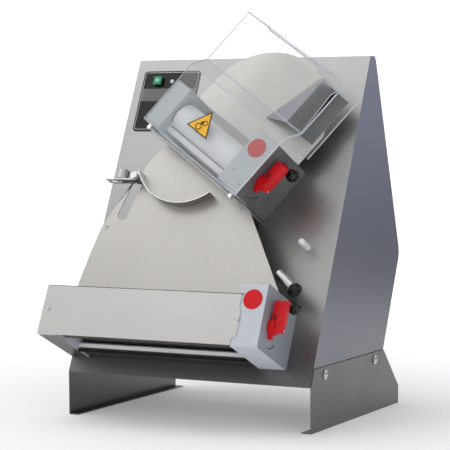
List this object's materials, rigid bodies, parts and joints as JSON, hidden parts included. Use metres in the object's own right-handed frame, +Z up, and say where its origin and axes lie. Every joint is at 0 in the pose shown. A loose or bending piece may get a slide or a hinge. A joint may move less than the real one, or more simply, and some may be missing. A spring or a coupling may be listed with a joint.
{
  "type": "dough sheeter",
  "caption": "Two-stage countertop dough sheeter: leaning steel cabinet, slanted guarded roller head, slide plate with swing arm, level roller head below.",
  "frame": {"origin": "on the ground, under the middle of the machine's bounding box", "axes": "+X to the machine's right as seen from its front, -Y out of the front, +Z up"},
  "size_m": [0.545, 0.5706, 0.8123],
  "materials": {
    "stainless_sheet": "brushed sheet",
    "slide_plate_steel": "fine brushed plate",
    "machined_steel": "turned and milled",
    "painted_casting": "smooth satin",
    "white_plastic": "smooth, food grade",
    "red_plastic": "moulded",
    "black_plastic": "moulded",
    "green_plastic": "moulded",
    "clear_sheet": "clear polycarbonate sheet",
    "belt_rubber": "flat belt",
    "motor_paint": "painted housing"
  },
  "bodies": {
    "machine": {"cabinet_shell": "stainless_sheet", "rear_lower_cover": "stainless_sheet", "rear_upper_cover": "stainless_sheet", "base_plate": "stainless_sheet", "power_gland": "black_plastic", "left_leg": "stainless_sheet", "right_leg": "stainless_sheet", "control_plate": "black_plastic", "power_lamp": "white_plastic", "lower_front_cover": "stainless_sheet", "lower_cover_screw_left": "machined_steel", "lower_cover_screw_right": "machined_steel", "lower_outlet_guide": "white_plastic", "lower_slide_plate": "slide_plate_steel", "upper_slide_plate": "slide_plate_steel", "feed_guide": "stainless_sheet", "guard_hinge_rod": "machined_steel", "pendulum_pin": "machined_steel", "plate_lock_sleeve": "stainless_sheet", "stop_peg": "white_plastic", "leg_bolt_left_front": "machined_steel", "leg_bolt_left_rear": "machined_steel", "leg_bolt_right_front": "machined_steel", "leg_bolt_right_rear": "machined_steel", "lower_right_block": "painted_casting", "lower_left_block": "painted_casting", "lower_back_scraper": "white_plastic", "lower_red_disc": "red_plastic", "lower_motor": "motor_paint", "lower_drive_belt": "belt_rubber", "upper_right_block": "painted_casting", "upper_left_block": "painted_casting", "upper_back_scraper": "white_plastic", "upper_red_disc": "red_plastic", "upper_motor": "motor_paint", "upper_drive_belt": "belt_rubber"},
    "lower_back_roll": {"lower_back_roller": "white_plastic", "lower_back_gear": "machined_steel"},
    "lower_carriage": {"lower_front_carriage": "white_plastic"},
    "lower_front_roll": {"lower_front_roller": "white_plastic", "lower_front_gear": "machined_steel"},
    "lower_drive_pulley": {"lower_motor_pulley": "machined_steel"},
    "lower_lever_arm": {"lower_lever": "red_plastic"},
    "lower_knob": {"lower_index_knob": "black_plastic"},
    "upper_back_roll": {"upper_back_roller": "white_plastic", "upper_back_gear": "machined_steel"},
    "upper_carriage": {"upper_front_carriage": "white_plastic"},
    "upper_front_roll": {"upper_front_roller": "white_plastic", "upper_front_gear": "machined_steel"},
    "upper_drive_pulley": {"upper_motor_pulley": "machined_steel"},
    "upper_lever_arm": {"upper_lever": "red_plastic"},
    "upper_knob": {"upper_index_knob": "black_plastic"},
    "guard": {"clear_guard": "clear_sheet"},
    "pendulum": {"pendulum_arm": "stainless_sheet"},
    "weight": {"counterweight": "machined_steel"},
    "start_push": {"start_button": "green_plastic"},
    "stop_push": {"stop_button": "red_plastic"},
    "plate_lock": {"plate_lock_knob": "black_plastic"}
  },
  "joints": [
    {"name": "lower_back_roller_spin", "type": "hinge", "parent": "machine", "child": "lower_back_roll", "pos_m": [-0.2067, -0.17222, 0.1796], "axis": [1, 0, 0], "continuous": true},
    {"name": "lower_front_roller_spin", "type": "hinge", "parent": "lower_carriage", "child": "lower_front_roll", "pos_m": [-0.2067, -0.22853, 0.20555], "axis": [1, 0, 0], "continuous": true},
    {"name": "lower_motor_pulley_spin", "type": "hinge", "parent": "machine", "child": "lower_drive_pulley", "pos_m": [-0.2527, -0.07776, 0.13608], "axis": [1, 0, 0], "continuous": true},
    {"name": "lower_lever_turn", "type": "hinge", "parent": "machine", "child": "lower_lever_arm", "pos_m": [0.21, -0.22853, 0.20555], "axis": [1, 0, 0], "range_deg": [0, 45]},
    {"name": "lower_gap_slide", "type": "slide", "parent": "machine", "child": "lower_carriage", "axis": [0, -0.9082, 0.4185], "range_m": [0, 0.0025]},
    {"name": "lower_knob_pull", "type": "slide", "parent": "lower_lever_arm", "child": "lower_knob", "axis": [1, 0, 0], "range_m": [0, 0.006], "stiffness_N_per_m": 400, "springref_m": -0.004},
    {"name": "upper_back_roller_spin", "type": "hinge", "parent": "machine", "child": "upper_back_roll", "pos_m": [-0.0541, 0.00454, 0.56321], "axis": [0.8241, -0.237, -0.5144], "continuous": true},
    {"name": "upper_front_roller_spin", "type": "hinge", "parent": "upper_carriage", "child": "upper_front_roll", "pos_m": [-0.0541, -0.05177, 0.58915], "axis": [0.8241, -0.237, -0.5144], "continuous": true},
    {"name": "upper_motor_pulley_spin", "type": "hinge", "parent": "machine", "child": "upper_drive_pulley", "pos_m": [-0.09201, 0.1099, 0.54335], "axis": [0.8241, -0.237, -0.5144], "continuous": true},
    {"name": "upper_lever_turn", "type": "hinge", "parent": "machine", "child": "upper_lever_arm", "pos_m": [0.13133, -0.1051, 0.47341], "axis": [0.8241, -0.237, -0.5144], "range_deg": [0, 45]},
    {"name": "upper_gap_slide", "type": "slide", "parent": "machine", "child": "upper_carriage", "axis": [0, -0.9082, 0.4185], "range_m": [0, 0.0025]},
    {"name": "upper_knob_pull", "type": "slide", "parent": "upper_lever_arm", "child": "upper_knob", "axis": [0.8241, -0.237, -0.5144], "range_m": [0, 0.006], "stiffness_N_per_m": 400, "springref_m": -0.004},
    {"name": "guard_hinge", "type": "hinge", "parent": "machine", "child": "guard", "pos_m": [-0.03039, -0.10177, 0.5141], "axis": [0.8241, -0.237, -0.5144], "range_deg": [0, 95]},
    {"name": "pendulum_swing", "type": "hinge", "parent": "machine", "child": "pendulum", "pos_m": [-0.155, -0.08524, 0.4759], "axis": [0, -0.9082, 0.4185], "range_deg": [-40, 6]},
    {"name": "counterweight_slide", "type": "slide", "parent": "pendulum", "child": "weight", "axis": [1, 0, 0], "range_m": [-0.018, 0.009]},
    {"name": "start_button_press", "type": "slide", "parent": "machine", "child": "start_push", "axis": [0, 0.9082, -0.4185], "range_m": [0, 0.002], "stiffness_N_per_m": 300, "springref_m": -0.003},
    {"name": "stop_button_press", "type": "slide", "parent": "machine", "child": "stop_push", "axis": [0, 0.9082, -0.4185], "range_m": [0, 0.002], "stiffness_N_per_m": 300, "springref_m": -0.003},
    {"name": "plate_lock_pull", "type": "slide", "parent": "machine", "child": "plate_lock", "axis": [0.7848, -0.2594, -0.5629], "range_m": [0, 0.008], "stiffness_N_per_m": 300, "springref_m": -0.004}
  ],
  "couplings": [
    {"joint": "lower_front_roller_spin", "follows": "lower_back_roller_spin", "ratio": -1},
    {"joint": "lower_motor_pulley_spin", "follows": "lower_back_roller_spin", "ratio": 1},
    {"joint": "lower_lever_turn", "follows": "lower_gap_slide", "rad_per_m": 314},
    {"joint": "upper_front_roller_spin", "follows": "upper_back_roller_spin", "ratio": -1},
    {"joint": "upper_motor_pulley_spin", "follows": "upper_back_roller_spin", "ratio": 1},
    {"joint": "upper_lever_turn", "follows": "upper_gap_slide", "rad_per_m": 314}
  ]
}
